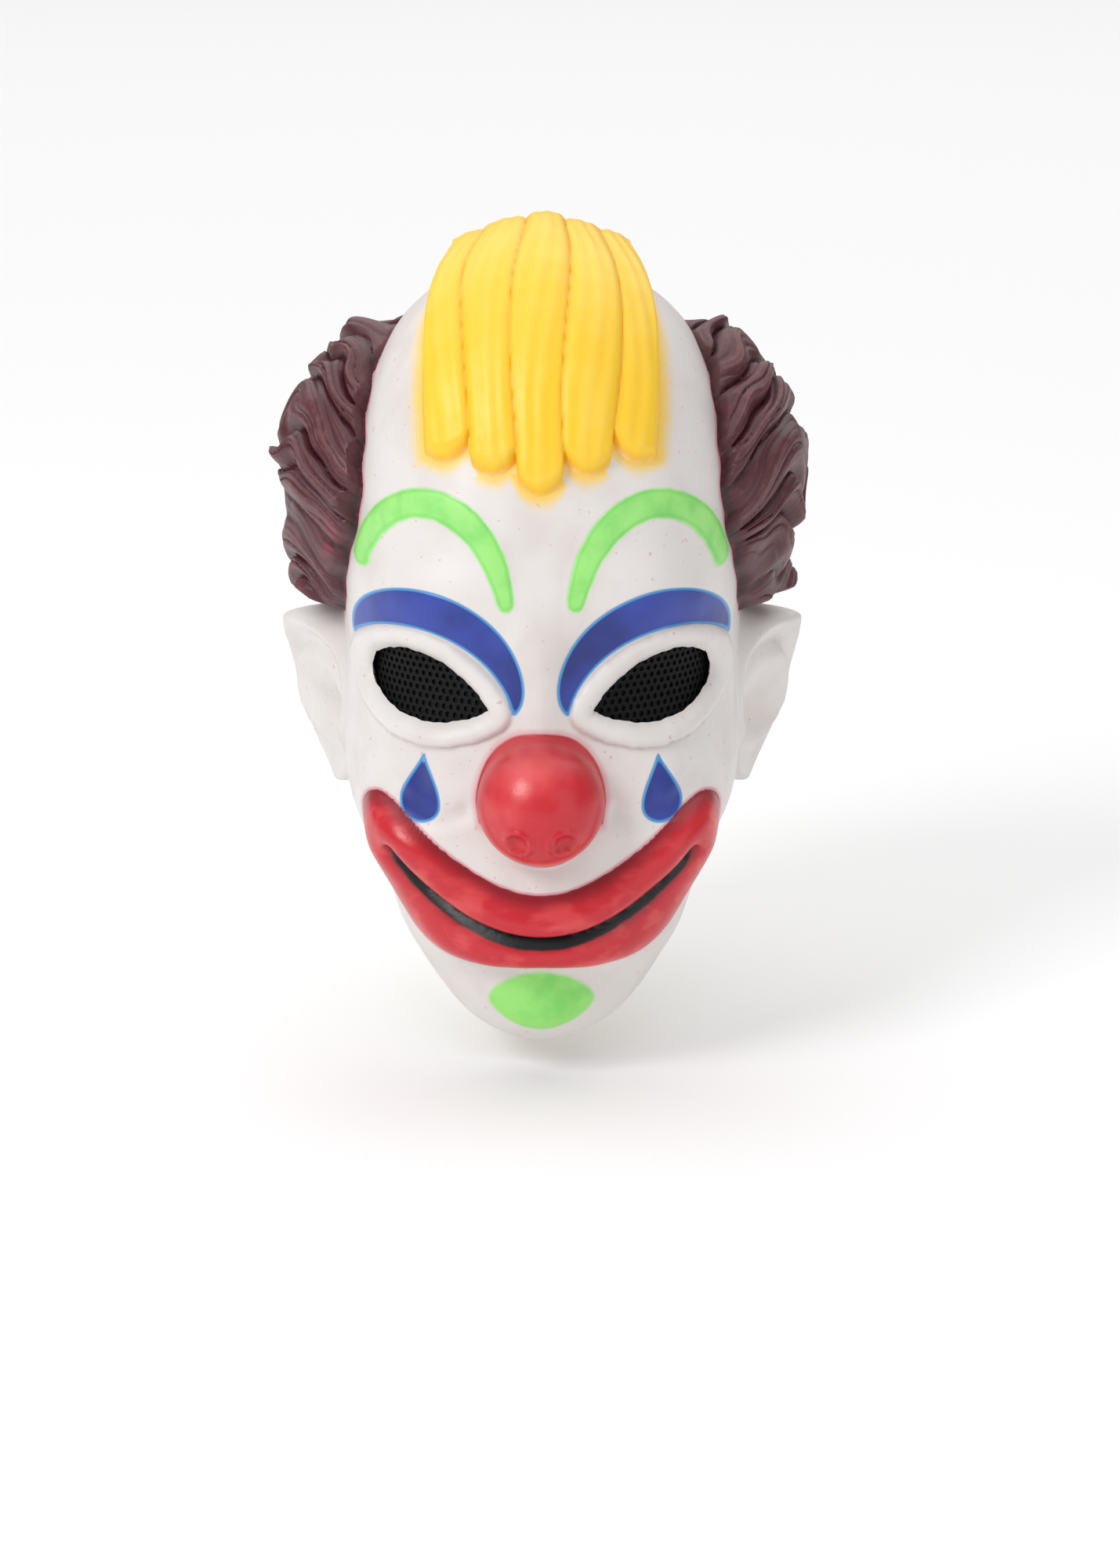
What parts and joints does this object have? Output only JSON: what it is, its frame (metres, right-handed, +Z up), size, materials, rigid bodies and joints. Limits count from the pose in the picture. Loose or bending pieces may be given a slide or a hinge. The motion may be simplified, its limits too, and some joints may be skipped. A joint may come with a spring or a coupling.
{
  "type": "clown mask",
  "caption": "Moulded latex clown mask, open at the back, with ears, side hair, an upright tuft, a ball nose, eye mesh and an elastic strap.",
  "frame": {"origin": "middle of the wearer's head between the ears, at eye level", "axes": "+Z up towards the crown, -Y out of the face, +X to the viewer's right when facing the mask"},
  "size_m": [0.2, 0.2292, 0.2971],
  "materials": {
    "latex": "satin painted latex",
    "eye_mesh": "open knitted spacer mesh",
    "elastic": "woven elastic"
  },
  "bodies": {
    "root": {"mask_shell": "latex", "eye_mesh_left": "eye_mesh", "eye_mesh_right": "eye_mesh", "head_strap": "elastic"}
  },
  "joints": []
}
